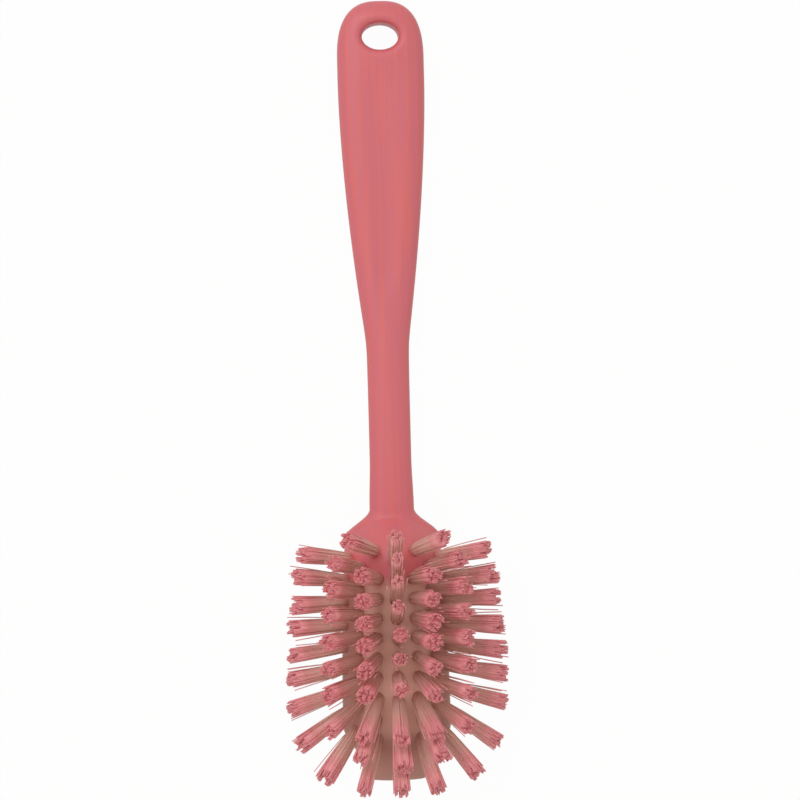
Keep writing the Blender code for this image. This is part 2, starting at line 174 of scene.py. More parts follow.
# Bundle of a tuft, from the moulding to the cut end
BUNDLE_SUNK = 0.0014
BUNDLE_ROOT_RADIUS = 0.0020
BUNDLE_TIP_RADIUS = 0.0031
BUNDLE_LENGTH = 0.0229
BUNDLE_FLARE_POWER = 0.6
TIP_DRIFT = 0.0003
TIP_SCATTER = 0.00015
CLUMPS = 14
CLUMP_PULL = 0.45
CLUMP_UNEVENNESS = 0.0011

# A tuft that points up more than this takes its side directions from +Y instead of +Z
BUNDLE_UPRIGHT = 0.9

# Filaments. Strays lean out of the bundle, less so where they start inside the middle share of it
FILAMENTS = 210
FILAMENT_RADIUS = 0.00018
FILAMENT_THICKNESS_RANGE = (0.88, 1.12)
FILAMENT_UNEVENNESS = 0.0004
FILAMENT_BEND = 0.0003
FILAMENT_SIDES = 5
FILAMENT_STEPS = 4
GOLDEN_ANGLE = math.pi * (3.0 - math.sqrt(5.0))
STRAY_SHARE = 0.028
STRAY_RANGE = (0.0005, 0.0022)
STRAY_MIDDLE = 0.3
BOX_MARGIN = 1.2 * FILAMENT_RADIUS

# Packed core that the filaments hide, as a share of the bundle's radius
CORE_SHARE = 0.84
CORE_LENGTH = 0.0198
CORE_SIDES = 12
CORE_STEPS = 6
CORE_TONE = 0.4

# Widths of tufts as shares of a full one, and how much farther up a slim one keeps its brown painted
# shade
FULLNESS_RANGE = (0.90, 1.06)
CROWN_FULLNESS = 0.82
CROWN_HEAD_FULLNESS = 0.72
CROWN_HEAD_TUFTS = 3
SLIM_PAINTED_SHADE_POWER = 0.6

# Painted shade in brown on the ground among the tufts: where it starts and is full behind the
# shoulder and on the nose, and the heights between which it fades down the block's flanks. Open ground,
# near the sides by these shares of the half width and on the nose, gets a darker painted shade than deep
# ground
GROUND_START = 0.0180
GROUND_FULL = 0.0330
GROUND_REACH = 0.0085
NOSE_GROUND_START = 0.0220
NOSE_GROUND_FULL = 0.0120
FLANK_LOW = 0.0036
FLANK_HIGH = 0.0090
NOSE_FLANK_HIGH = 0.0070
OPEN_GROUND_START = 0.50
OPEN_GROUND_FULL = 0.80

# Finish of the moulding: its two pinks in flow marks along it, and its browns of painted shade among the
# tufts and on the nose
PINK = (0.620, 0.127, 0.163, 1.0)
FLOW_PINK = (0.670, 0.132, 0.143, 1.0)
# Painted shade: the pink moulding's shade put in as brown, one for deep ground among the tufts and a
# darker one where the ground lies open
DEEP_PAINTED_SHADE = (0.780, 0.430, 0.360, 1.0)
OPEN_PAINTED_SHADE = (0.445, 0.184, 0.157, 1.0)
PLASTIC_ROUGHNESS = 0.40
FLOW_ROUGHNESS = 0.08
BROWN_ROUGHNESS = 0.15
NOISE_DETAIL = 3.0
FLOW_SCALE = 480.0
FLOW_DETAIL = 2.0
FLOW_STRETCH = (1.0, 0.016, 1.0)
FLOW_EDGES = (0.40, 0.66)
PATCH_SCALE = 160.0
PATCH_STRENGTH = 0.3
# Ramp over which the brown painted shade comes in
PAINTED_SHADE_EDGES = (0.10, 0.75)
GRAIN_SCALE = 900.0
GRAIN_HEIGHT = 0.25
PLASTIC_BUMP = 0.25
PLASTIC_BUMP_DEPTH = 0.00008

# Parting line round the moulding, in millimetres from its middle, broken up by noise
SEAM_EDGES = (0.14, 0.04)
SEAM_NOISE_SCALE = 300.0
SEAM_NOISE_EDGES = (0.35, 0.60)

# Finish of the filaments: the darker and the lighter tone of the brown painted shade at the root and of
# the pink at the cut end
# Painted shade: the root's browns stand for the shade deep inside the tuft
ROOT_PAINTED_SHADES = ((0.825, 0.515, 0.460, 1.0), (0.875, 0.550, 0.495, 1.0))
TIP_PINKS = ((0.770, 0.250, 0.284, 1.0), (0.830, 0.278, 0.314, 1.0))
PINK_EDGES = (0.33, 0.93)
TONE_SHIFT = 0.16
FILAMENT_ROUGHNESS = 0.36
TONE_ROUGHNESS = 0.15
FILAMENT_GRAIN_SCALE = 2500.0
FILAMENT_GRAIN_DETAIL = 2.0
FILAMENT_BUMP = 0.15
FILAMENT_BUMP_DEPTH = 0.00003

# Floor: its own dull white, and the share of full white that the camera sees
FLOOR_HALF_SIZE = 1.6
FLOOR_HEIGHT = -0.0001
FLOOR_COLOUR = (0.66, 0.71, 0.60, 1.0)
FLOOR_ROUGHNESS = 0.9
FLOOR_WHITE = 0.97
WHITE = (1.0, 1.0, 1.0, 1.0)

# Light: the room's level at the sides and overhead, and a broad lamp from the upper left
ROOM_SIDE_LIGHT = 0.53
ROOM_TOP_LIGHT = 0.90
ROOM_TOP_START = 0.90
ROOM_COLOUR = (0.94, 1.0, 0.89, 1.0)
LAMP_PLACE = (-1.10, 1.20, 2.00)
LAMP_SIZE = 1.8
LAMP_POWER = 21.0
LAMP_COLOUR = (1.0, 0.94, 1.0)

# Camera: the brush is seen from a little to its left, and its top leans left
CAMERA_DISTANCE = 1.0
CAMERA_REACH = 10.0
SENSOR_WIDTH = 36.0
PHOTO_WIDTH = 0.2822
PHOTO_ROLL = math.radians(1.47)
PHOTO_TILT = math.radians(2.47)
PHOTO_CENTRE = (0.0041, -0.0020, 0.0)

# Sockets of a Mix node that mixes colours
MIX_FACTOR, MIX_LOW, MIX_HIGH, MIX_COLOUR = 0, 6, 7, 2


def share(value, start, end):
    """How far value is from start towards end, held between 0 and 1."""
    return np.clip((value - start) / (end - start), 0.0, 1.0)


def ramp(value, start, end):
    """Smooth rise from 0 at start to 1 at end, level at both."""
    t = share(value, start, end)
    return t * t * (3.0 - 2.0 * t)


def mix(low, high, t):
    return low + (high - low) * t


def soft_max(a, b, softness=CORNER_SOFTNESS):
    """The greater of two, rounded where they meet: (a + b + sqrt((a - b)^2 + s^2)) / 2."""
    return 0.5 * (a + b + np.hypot(a - b, softness))


def soft_min(a, b):
    """The lesser of two, rounded where they meet: (a + b - sqrt((a - b)^2 + s^2)) / 2."""
    return 0.5 * (a + b - np.hypot(a - b, CORNER_SOFTNESS))


def round_off(t, power):
    """Fall of a superelliptic end from 1 at t = 0 to 0 at t = 1: (1 - t^n)^(1/n)."""
    return np.maximum(1.0 - np.clip(t, 0.0, 1.0) ** power, 0.0) ** (1.0 / power)


def end_share(y, length):
    """How far y is into the last stretch of this length before the hanging end."""
    return share(y, HANDLE_END_Y - length, HANDLE_END_Y)


def half_width(y):
    """Half of the brush's width at y, before either end is rounded.

    The grip narrows by a power of the distance from its widest place and the neck flares a little.
    The block widens from the shoulder by 1 - (1 - t)^2, and the nose tapers in straight lines.
    """
    taper = np.maximum((GRIP_WIDEST_Y - y) / (GRIP_WIDEST_Y - NECK_TOP_Y), 0.0)
    grip = GRIP_HALF_WIDTH - (GRIP_HALF_WIDTH - NECK_HALF_WIDTH) * taper**GRIP_TAPER_POWER
    handle = soft_max(grip, NECK_HALF_WIDTH)
    handle = handle + NECK_FLARE * ramp(y, SHOULDER_Y + NECK_FLARE_LENGTH, SHOULDER_Y)
    along = share(y, SHOULDER_Y - SHOULDER_LENGTH, NOSE_START_Y)
    block = mix(BLOCK_HALF_WIDTH, BLOCK_SHOULDER_HALF_WIDTH, (1.0 - along) ** 2)
    width = mix(handle, block, ramp(y, SHOULDER_Y, SHOULDER_Y - SHOULDER_LENGTH))
    slope = (BLOCK_HALF_WIDTH - BLOCK_NOSE_HALF_WIDTH) / (NOSE_START_Y - NOSE_TIP_Y)
    nose = soft_max(BLOCK_NOSE_HALF_WIDTH + (y - NOSE_TIP_Y) * slope, BLOCK_NOSE_HALF_WIDTH)
    return soft_min(width, nose)


def zone(grip, neck, block, y):
    """A size that changes smoothly from grip to neck to block."""
    handle = mix(grip, neck, ramp(y, GRIP_WIDEST_Y, NECK_TOP_Y))
    return mix(handle, block, ramp(y, SHOULDER_Y, SHOULDER_Y - SHOULDER_LENGTH))


def side_height(y):
    """Height of the moulding's widest place, where its front meets its back."""
    return zone(GRIP_SIDE_HEIGHT, NECK_SIDE_HEIGHT, BLOCK_SIDE_HEIGHT, y)


def crest_height(x, y):
    """Height of the front's crest: grip, neck, then the dome of the block, which starts on an arch.

    The dome rises by sin(a) over a quarter turn and falls to the nose as a quarter of an ellipse.
    """
    neck_top = NECK_LIFT + NECK_THICKNESS
    handle = mix(GRIP_THICKNESS, neck_top, ramp(y, GRIP_WIDEST_Y, NECK_TOP_Y))
    rise_start = SHOULDER_Y - DOME_SETBACK - x**2 / (2.0 * DOME_ARCH_RADIUS)
    rise = np.sin(0.5 * math.pi * np.clip((rise_start - y) / DOME_RISE_LENGTH, -1.0, 1.0))
    dome = soft_max(handle, mix(handle, BLOCK_HEIGHT, rise), DOME_FOOT_SOFTNESS)
    fall = round_off(share(y, BLOCK_END_Y + DOME_FALL_LENGTH, BLOCK_END_Y), ELLIPSE_POWER)
    return mix(BLOCK_NOSE_HEIGHT, dome, fall)


def dish(x, y):
    """Depth of the shallow dish in the grip's front, which leaves a raised rim around it.

    Across the grip it is D (1 - (x / w)^2)^1.5, and it runs out smoothly at both ends.
    """
    foot = NECK_TOP_Y + DISH_FOOT_FROM_NECK
    head = HANGING_HOLE_Y - DISH_HEAD_FROM_HOLE
    inside = np.clip(1.0 - (x / (half_width(y) - DISH_RIM)) ** 2, 0.0, 1.0)
    ends = ramp(y, foot, foot + DISH_RUNOUT) * ramp(y, head, head - DISH_RUNOUT)
    return DISH_DEPTH * inside**DISH_POWER * ends


def nose_inset(y):
    """How far the round of the nose's edge draws the outline in: R - sqrt(R^2 - d^2)."""
    depth = np.maximum(BLOCK_END_Y + BLOCK_EDGE_ROUND - y, 0.0)
    return BLOCK_EDGE_ROUND - np.sqrt(np.maximum(BLOCK_EDGE_ROUND**2 - depth**2, 0.0))


def surface(x, y, front):
    """Height of the front or back over places in plan, both ends rounded.

    Front: side + (crest - side) * (1 - |x/w|^n)^(1/n) - dish. Back: flat, with elliptic corners.
    Near the hanging end both are drawn to the side's height as the edge rounds over.
    """
    width = half_width(y)
    plan = round_off(end_share(y, GRIP_END_ROUND), END_ROUND_POWER)
    edge = round_off(end_share(y, GRIP_END_EDGE), ELLIPSE_POWER)
    shrink = 1.0 - nose_inset(y) / width
    flat_x = x / np.maximum(plan * shrink, LEAST_SHRINK)
    side = side_height(y)
    if front:
        power = zone(GRIP_FRONT_POWER, NECK_FRONT_POWER, BLOCK_FRONT_POWER, y)
        section = round_off(np.abs(flat_x) / width, power)
        z = mix(side, crest_height(flat_x, y), section) - dish(flat_x, y)
    else:
        back = NECK_LIFT * ramp(y, SHOULDER_Y, NECK_TOP_Y) * ramp(y, GRIP_WIDEST_Y, NECK_TOP_Y)
        corner = np.minimum(zone(GRIP_BACK_ROUND, NECK_BACK_ROUND, BLOCK_BACK_ROUND, y), width)
        section = round_off((np.abs(flat_x) - (width - corner)) / corner, ELLIPSE_POWER)
        z = mix(side, back, section)
    return side + (z - side) * edge * shrink


def outline(y):
    """Half width of the brush at y, with a superelliptic hanging end and the nose's edge rounded."""
    width = half_width(y)
    plan = round_off(end_share(y, GRIP_END_ROUND), END_ROUND_POWER)
    return width * plan * (1.0 - nose_inset(y) / width)


def stations():
    """Places of the grid's rows from the end patch to the nose, closer where the shape turns."""
    dome_start = SHOULDER_Y - DOME_SETBACK
    dome_top = dome_start - DOME_RISE_LENGTH
    nose_edge = BLOCK_END_Y + BLOCK_EDGE_ROUND
    stretches = (
        (END_PATCH_Y, NECK_TOP_Y, GRIP_ROWS),
        (NECK_TOP_Y, SHOULDER_Y, NECK_ROWS),
        (SHOULDER_Y, dome_start, SHOULDER_ROWS),
        (dome_start, dome_top, DOME_RISE_ROWS),
        (dome_top, NOSE_START_Y, DOME_FALL_ROWS),
        (NOSE_START_Y, nose_edge, NOSE_ROWS),
    )
    rows = [np.linspace(start, end, count)[:-1] for start, end, count in stretches]
    turn = np.linspace(0.0, 0.5 * math.pi, NOSE_EDGE_ROWS)
    return np.concatenate([*rows, nose_edge - BLOCK_EDGE_ROUND * np.sin(turn)])


def end_border(across):
    """Plan of the border of the hanging end.

    It runs along the end patch's straight lower edge from left to right, up the right side, over the
    end from right to left by x = w cos(a)^(2/n), y = start + R sin(a)^(2/n), and down the left side.
    """
    low = np.stack([-across, np.full(COLUMNS + 1, END_PATCH_Y)], axis=-1)
    round_start = HANDLE_END_Y - GRIP_END_ROUND
    side_y = np.linspace(END_PATCH_Y, round_start, END_SIDE_ROWS)[1:]
    right = np.stack([outline(side_y), side_y], axis=-1)
    turns = np.linspace(0.0, math.pi, END_SEGMENTS + 1)[1:-1]
    over_y = round_start + GRIP_END_ROUND * np.sin(turns) ** (2.0 / END_ROUND_POWER)
    over = np.stack([np.sign(np.cos(turns)) * outline(over_y), over_y], axis=-1)
    left = right[::-1] * (-1.0, 1.0)
    return np.concatenate([low, right, over, left])


def hanging_end(across):
    """Plan of the hanging end as rings from the hanging hole out to the border, and each ring's drop.

    Ring k of the fillet lies R (1 - cos a) out from the oval hole and R (1 - sin a) down, and the
    rings beyond it go on to the border by sin(t), which draws them closer together at the edge.
    """
    border = end_border(across)
    hole = np.array([0.0, HANGING_HOLE_Y])
    half = np.array([HANGING_HOLE_HALF_WIDTH, HANGING_HOLE_HALF_LENGTH])
    aim = (border - hole) / (half + HANGING_HOLE_FILLET)
    aim /= np.linalg.norm(aim, axis=1, keepdims=True)
    turn = np.linspace(0.0, 0.5 * math.pi, FILLET_RINGS + 1)
    rings = [hole + aim * (half + out) for out in HANGING_HOLE_FILLET * (1.0 - np.cos(turn))]
    reach = np.sin(0.5 * math.pi * np.arange(1, BODY_RINGS + 1) / BODY_RINGS)
    rings += [mix(rings[-1], border, t) for t in reach]
    drop = np.zeros(len(rings))
    drop[: FILLET_RINGS + 1] = HANGING_HOLE_FILLET * (1.0 - np.sin(turn))
    return np.array(rings), drop


def mesh_points(mesh):
    """Points of a mesh as the rows of an array."""
    flat = np.empty(3 * len(mesh.vertices), dtype=np.float32)
    mesh.vertices.foreach_get("co", flat)
    return flat.reshape(-1, 3).astype(float)


def tufts():
    """Root and direction of every tuft, measured on its node.

    The node's lowest points are the bottom of its root, and its highest ones the strands' tips. The
    root given is where the tuft leaves the moulding.
    """
    found = {}
    for name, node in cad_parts.items():
        if not name.startswith("bristle_tuft"):
            continue
        points = mesh_points(node.data)
        centred = points - points.mean(0)
        axis = np.linalg.svd(centred, full_matrices=False)[2][0]
        height = centred @ (axis * np.sign(axis[2]))
        bottom = points[height < height.min() + BOTTOM_SLICE].mean(0)
        tip = points[height > height.max() - TIP_SLICE].mean(0)
        axis = (tip - bottom) / np.linalg.norm(tip - bottom)
        found[name] = (bottom + axis * ROOT_SUNK, axis)
    return found


def pointing(plan_angle, height_angle):
    """Unit direction from a plan angle, counted from +X to +Y, and an angle above the back."""
    plan, height = math.radians(plan_angle), math.radians(height_angle)
    level = math.cos(height)
    return np.array([level * math.cos(plan), level * math.sin(plan), math.sin(height)])


def nose_tufts():
    """The pair and the middle tuft between the inner row and the nose, standing on the block's front."""
    places = {}
    spots = (
        ("nose_right", 1.0, NOSE_PAIR_X, NOSE_PAIR_FROM_END, NOSE_PAIR_AIM),
        ("nose_middle", 1.0, 0.0, NOSE_MIDDLE_FROM_END, NOSE_MIDDLE_AIM),
        ("nose_left", -1.0, NOSE_PAIR_X, NOSE_PAIR_FROM_END, NOSE_PAIR_AIM),
    )
    for name, side, x, from_end, aim in spots:
        y = BLOCK_END_Y + from_end
        flip = np.array([side, 1.0, 1.0])
        places[name] = (np.array([x, y, float(surface(x, y, True))]) * flip, pointing(*aim) * flip)
    return places


def link(name, vertices, faces, material, attributes):
    """A mesh object at the origin from numpy points, index faces and point attributes."""
    mesh = bpy.data.meshes.new(name)
    mesh.from_pydata(vertices.tolist(), [], faces)
    for key, values in attributes.items():
        layer = mesh.attributes.new(key, "FLOAT", "POINT")
        layer.data.foreach_set("value", values.astype(np.float32))
    mesh.shade_smooth()
    mesh.materials.append(material)
    piece = bpy.data.objects.new(name, mesh)
    bpy.context.scene.collection.objects.link(piece)
    return piece


def clean(mesh):
    """Drops the second copies of shared edge points, and turns every face outwards."""
    builder = bmesh.new()
    builder.from_mesh(mesh)
    bmesh.ops.remove_doubles(builder, verts=builder.verts, dist=SAME_PLACE)
    loose = [v for v in builder.verts if not v.link_faces]
    bmesh.ops.delete(builder, geom=loose, context="VERTS")
    bmesh.ops.recalc_face_normals(builder, faces=builder.faces)
    builder.to_mesh(mesh)
    builder.free()


def quads(grid, closed=False):
    """Index faces over a grid of point numbers, whose columns may close into a ring."""
    turned = np.roll(grid, -1, axis=1) if closed else grid[:, 1:]
    plain = grid if closed else grid[:, :-1]
    return np.stack([plain[:-1], turned[:-1], turned[1:], plain[1:]], axis=-1).reshape(-1, 4)


def ground(points, roots):
    """Two shares for every place: how much brown painted shade it gets, and how open that ground is.

    The first is the sum of exp(-(d / reach)^2) over the tufts' roots, held to 1 and fading in behind
    the shoulder, or the nearness to the nose where that is more. It fades down the flanks. Ground is
    open near the block's sides and on the nose, and there the material's painted shade is darker.
    """
    near = np.zeros(len(points))
    for root in roots:
        near += np.exp(-((np.linalg.norm(points - root, axis=1) / GROUND_REACH) ** 2))
    x, y, z = points.T
    among = np.clip(near, 0.0, 1.0) * ramp(y, SHOULDER_Y - GROUND_START, SHOULDER_Y - GROUND_FULL)
    nose = ramp(y, BLOCK_END_Y + NOSE_GROUND_START, BLOCK_END_Y + NOSE_GROUND_FULL)
    front = ramp(z, FLANK_LOW, mix(FLANK_HIGH, NOSE_FLANK_HIGH, nose))
    side = ramp(np.abs(x) / BLOCK_HALF_WIDTH, OPEN_GROUND_START, OPEN_GROUND_FULL)
    # The first share places the painted shade on the block, and the second picks its darker brown where
    # the ground is open
    return np.maximum(among, nose) * front, np.maximum(nose, side)


def skin_blocks():
    """Points of the skin as five grids: the front's sheet and end, the back's, and the border they share.

    A sheet has rows along Y and columns across, x = outline(y) * sin(p) for p from 90 to -90 degrees,
    with heights from surface(x, y). An end has rings round the hanging hole, without the border.
    """
    y_rows = stations()
    sines = np.sin(np.linspace(0.5 * math.pi, -0.5 * math.pi, COLUMNS + 1))
    x = outline(y_rows)[:, None] * sines
    y = np.repeat(y_rows[:, None], COLUMNS + 1, axis=1)
    rings, drop = hanging_end(x[0])
    blocks = []
    for front, way in ((True, -1.0), (False, 1.0)):
        z = surface(rings[..., 0], rings[..., 1], front) + way * drop[:, None]
        end = np.concatenate([rings, z[..., None]], axis=-1)
        blocks += [np.stack([x, y, surface(x, y, front)], axis=-1), end[:-1]]
    return [*blocks, end[-1:, COLUMNS + 1 :]]


def handle_skin(material, roots):
    """The handle and block as one closed skin.

    Each sheet is joined to its rings by the sheet's first row and the border, the front's to the
    back's through the hanging hole and across the nose, and both share their points at the sides.
    """
    blocks = skin_blocks()
    sizes = [block[..., 0].size for block in blocks]
    numbers = np.split(np.arange(sum(sizes)), np.cumsum(sizes)[:-1])
    grids = [part.reshape(block.shape[:2]) for part, block in zip(numbers, blocks)]
    front_sheet, front_end, back_sheet, back_end, border = grids
    back_sheet[:, [0, -1]] = front_sheet[:, [0, -1]]
    faces = []
    for sheet, end, turn in ((front_sheet, front_end, 1), (back_sheet, back_end, -1)):
        loop = np.concatenate([sheet[0][::-1], border[0]])
        rings = quads(np.concatenate([end, loop[None]]), closed=True)
        faces += [quads(sheet)[:, ::turn], rings[:, ::-turn]]
    faces.append(quads(np.array([back_end[0], front_end[0]]), closed=True))
    front, back = front_sheet[-1], back_sheet[-1]
    faces.append(quads(np.array([back[1:-1], front[1:-1]]))[:, ::-1])
    corners = np.array([(front[0], front[1], back[1]), (front[-1], back[-2], front[-2])])
    points = np.clip(np.concatenate([block.reshape(-1, 3) for block in blocks]), *np.array(cad_box))
    # Painted shade: these attributes say where the block's front turns to the brown shade colour and
    # which of its two browns it takes
    field, open_ground = ground(points, roots)
    seam = (points[:, 2] - side_height(points[:, 1])) * MILLIMETRES
    attributes = {"painted_shade_field": field, "open_ground": open_ground, "seam": seam}
    every = [*np.concatenate(faces).tolist(), *corners.tolist()]
    skin = link("handle_skin", points, every, material, attributes)
    clean(skin.data)
    return skin


def fullness(name):
    """Width of a tuft as a share of a full one: the crown's are slimmer, its first three most of all."""
    if "crown" not in name:
        return 1.0
    return CROWN_HEAD_FULLNESS if int(name[-2:]) <= CROWN_HEAD_TUFTS else CROWN_FULLNESS


def square_to(axis):
    """Two unit directions that are square to this one and to each other."""
    side = np.cross(axis, (0.0, 0.0, 1.0) if abs(axis[2]) < BUNDLE_UPRIGHT else (0.0, 1.0, 0.0))
    side /= np.linalg.norm(side)
    return side, np.cross(axis, side)


def full_turn(sides):
    """Angles of a ring's corners."""
    return 2.0 * math.pi * np.arange(sides) / sides


def filament_ends(rng, disc, tip_radius):
    """Places of the filaments' tips across the tuft, how much shorter each is, and the tuft's drift.

    A tip lies at its filament's own place in the wider disc of the tip, drawn towards the nearest of
    a few clumps. Clumps differ in length, which gives the cut end its teeth, a few strays leave the
    bundle, and the whole tip drifts a little.
    """
    count = len(disc)
    clumps = disc[rng.choice(count, CLUMPS, replace=False)]
    clump = np.argmin(((disc[:, None] - clumps[None]) ** 2).sum(-1), axis=1)
    drift = rng.normal(0.0, TIP_DRIFT, 2)
    ends = mix(disc, clumps[clump], CLUMP_PULL) * tip_radius
    ends += rng.normal(0.0, TIP_SCATTER, (count, 2)) + drift
    stray = (rng.random(count) < STRAY_SHARE)[:, None] * rng.uniform(*STRAY_RANGE, (count, 1))
    ends += disc / np.maximum(np.linalg.norm(disc, axis=1, keepdims=True), STRAY_MIDDLE) * stray
    shorter = np.abs(rng.normal(0.0, CLUMP_UNEVENNESS, CLUMPS))[clump]
    return ends, shorter + np.abs(rng.normal(0.0, FILAMENT_UNEVENNESS, count)), drift


def filament_tubes(rng, full, root, ways):
    """Filaments of one tuft as thin tubes: their points, heights above the root, tones and drift.

    A filament starts at a sunflower place a in the root's disc, radius sqrt(k / n) at k golden angles,
    and ends at its tip b, with a slight bend: offset(s) = a + (b - a) s^0.6 + bend s (1 - s). All
    points stay within the brush's size.
    """
    count = round(FILAMENTS * full)
    order = np.arange(count) + 0.5
    radius = np.sqrt(order / count)
    angle = order * GOLDEN_ANGLE + rng.uniform(0.0, 2.0 * math.pi)
    disc = np.stack([radius * np.cos(angle), radius * np.sin(angle)], axis=1)
    starts = (disc * (BUNDLE_ROOT_RADIUS - FILAMENT_RADIUS))[:, None]
    ends, shorter, drift = filament_ends(rng, disc, BUNDLE_TIP_RADIUS * full)
    bend = rng.normal(0.0, FILAMENT_BEND, (count, 1, 2))
    s = np.linspace(0.0, 1.0, FILAMENT_STEPS + 1)[:, None]
    plane = starts + (ends[:, None] - starts) * s**BUNDLE_FLARE_POWER + bend * s * (1.0 - s)
    rise = (BUNDLE_LENGTH - shorter + BUNDLE_SUNK)[:, None] * s[:, 0] - BUNDLE_SUNK
    low, high = np.array(cad_box)
    line = root + np.concatenate([plane, rise[..., None]], axis=-1) @ ways
    line = np.clip(line, low + BOX_MARGIN, high - BOX_MARGIN)
    turns = full_turn(FILAMENT_SIDES)
    ring = np.stack([np.cos(turns), np.sin(turns)], axis=-1) @ ways[:2]
    thickness = FILAMENT_RADIUS * rng.uniform(*FILAMENT_THICKNESS_RANGE, (count, 1, 1, 1))
    return line[:, :, None] + ring * thickness, rise, rng.random(count), drift


def core_tube(full, root, ways, drift):
    """Packed core of one tuft as a tube, and the heights of its rings above the root.

    Its radius grows from the root to the tip by s^0.6, and its middle drifts by the same power.
    """
    s = np.linspace(0.0, 1.0, CORE_STEPS + 1)
    spread = s**BUNDLE_FLARE_POWER
    wide = CORE_SHARE * mix(BUNDLE_ROOT_RADIUS, BUNDLE_TIP_RADIUS * full, spread)
    rise = (CORE_LENGTH + BUNDLE_SUNK) * s - BUNDLE_SUNK
    turns = full_turn(CORE_SIDES)
    ring = np.stack([np.cos(turns), np.sin(turns)], axis=-1)
    line = np.concatenate([spread[:, None] * drift, rise[:, None]], axis=-1) @ ways
    return root + line[:, None] + (wide[:, None, None] * ring) @ ways[:2], rise


def tube_faces(tubes):
    """Walls and caps of tubes, from their point numbers by tube, ring and side."""
    turned = np.roll(tubes, -1, axis=2)
    walls = np.stack([tubes[:, :-1], turned[:, :-1], turned[:, 1:], tubes[:, 1:]], axis=-1)
    return [*walls.reshape(-1, 4).tolist(), *tubes[:, -1].tolist(), *tubes[:, 0, ::-1].tolist()]


def bundle(name, root, axis, material, seed):
    """One tuft: its filaments round a packed core, with how far along it each point is and its tone."""
    rng = np.random.default_rng(seed)
    ways = np.array([*square_to(axis), axis])
    full = fullness(name) * rng.uniform(*FULLNESS_RANGE)
    tubes, rise, tone, drift = filament_tubes(rng, full, root, ways)
    core, core_rise = core_tube(full, root, ways, drift)
    numbers = np.arange(tubes[..., 0].size).reshape(tubes.shape[:3])
    core_numbers = numbers.size + np.arange(core[..., 0].size).reshape(1, *core.shape[:2])
    points = np.concatenate([tubes.reshape(-1, 3), core.reshape(-1, 3)])
    heights = np.concatenate([np.repeat(rise, FILAMENT_SIDES), np.repeat(core_rise, CORE_SIDES)])
    # along sets where a filament turns from the brown painted shade of its root to pink, and a slim tuft
    # keeps the painted shade farther up
    along = np.maximum(heights, 0.0) / BUNDLE_LENGTH * full**SLIM_PAINTED_SHADE_POWER
    tones = np.concatenate([np.repeat(tone, numbers[0].size), np.full(core_numbers.size, CORE_TONE)])
    faces = tube_faces(numbers) + tube_faces(core_numbers)
    return link(name, points, faces, material, {"along": along, "tone": tones})


def add_node(tree, kind, settings=None, inputs=None, output=0):
    """A new shader node, its settings first, then its sockets' values or links. Gives one output."""
    made = tree.nodes.new("ShaderNode" + kind)
    for key, value in (settings or {}).items():
        setattr(made, key, value)
    for key, value in (inputs or {}).items():
        if isinstance(value, Signal):
            tree.links.new(value.socket, made.inputs[key])
        else:
            made.inputs[key].default_value = value
    return Signal(tree, made.outputs[output])


class Signal:
    """A shader socket with arithmetic, so that a material reads as formulas."""

    def __init__(self, tree, socket):
        self.tree = tree
        self.socket = socket

    def operate(self, operation, *operands):
        return add_node(self.tree, "Math", {"operation": operation}, dict(enumerate(operands)))

    def __add__(self, other):
        return self.operate("ADD", self, other)

    def __sub__(self, other):
        return self.operate("SUBTRACT", self, other)

    def __rsub__(self, other):
        return self.operate("SUBTRACT", other, self)

    def __mul__(self, other):
        return self.operate("MULTIPLY", self, other)

    __radd__ = __add__
    __rmul__ = __mul__

    def absolute(self):
        return self.operate("ABSOLUTE", self)

    def ramp(self, start, end):
        """Smooth rise from 0 where the signal is start to 1 where it is end."""
        inputs = {"Value": self, "From Min": start, "From Max": end}
        return add_node(self.tree, "MapRange", {"interpolation_type": "SMOOTHSTEP"}, inputs, "Result")


def mix_colours(factor, low, high):
    """A colour between two others, as far towards the second as the factor says."""
    inputs = {MIX_FACTOR: factor, MIX_LOW: low, MIX_HIGH: high}
    return add_node(factor.tree, "Mix", {"data_type": "RGBA"}, inputs, MIX_COLOUR)


def seen_rays(tree):
    """1 for rays from the camera and for those that gloss and glass send on, and 0 for the rest."""
    camera = add_node(tree, "LightPath", output="Is Camera Ray")
    through = add_node(tree, "LightPath", output="Is Transmission Ray")
    glossy = add_node(tree, "LightPath", output="Is Glossy Ray")
    return camera + through + glossy


class Finish:
    """A material with a Principled shader, and the patterns that its sockets read."""

    def __init__(self, name, **settings):
        self.material = bpy.data.materials.new(name)
        self.material.use_nodes = True
        self.tree = self.material.node_tree
        self.shader = self.tree.nodes["Principled BSDF"]
        for key, value in settings.items():
            self.shader.inputs[key.replace("_", " ").title()].default_value = value

    def node(self, kind, settings=None, inputs=None, output=0):
        return add_node(self.tree, kind, settings, inputs, output)

    def attribute(self, name):
        return self.node("Attribute", {"attribute_name": name}, output="Fac")

    def noise(self, scale, detail=NOISE_DETAIL, stretch=(1.0, 1.0, 1.0)):
        """Noise over the object, drawn out along an axis where its stretch is less than 1."""
        place = self.node("TexCoord", output="Object")
        place = self.node("VectorMath", {"operation": "MULTIPLY"}, {0: place, 1: stretch}, "Vector")
        return self.node("TexNoise", {}, {"Vector": place, "Scale": scale, "Detail": detail}, "Fac")

    def set(self, socket, signal):
        self.tree.links.new(signal.socket, self.shader.inputs[socket])

    def bump(self, height, strength, distance):
        inputs = {"Height": height, "Strength": strength, "Distance": distance}
        self.set("Normal", self.node("Bump", {}, inputs, "Normal"))


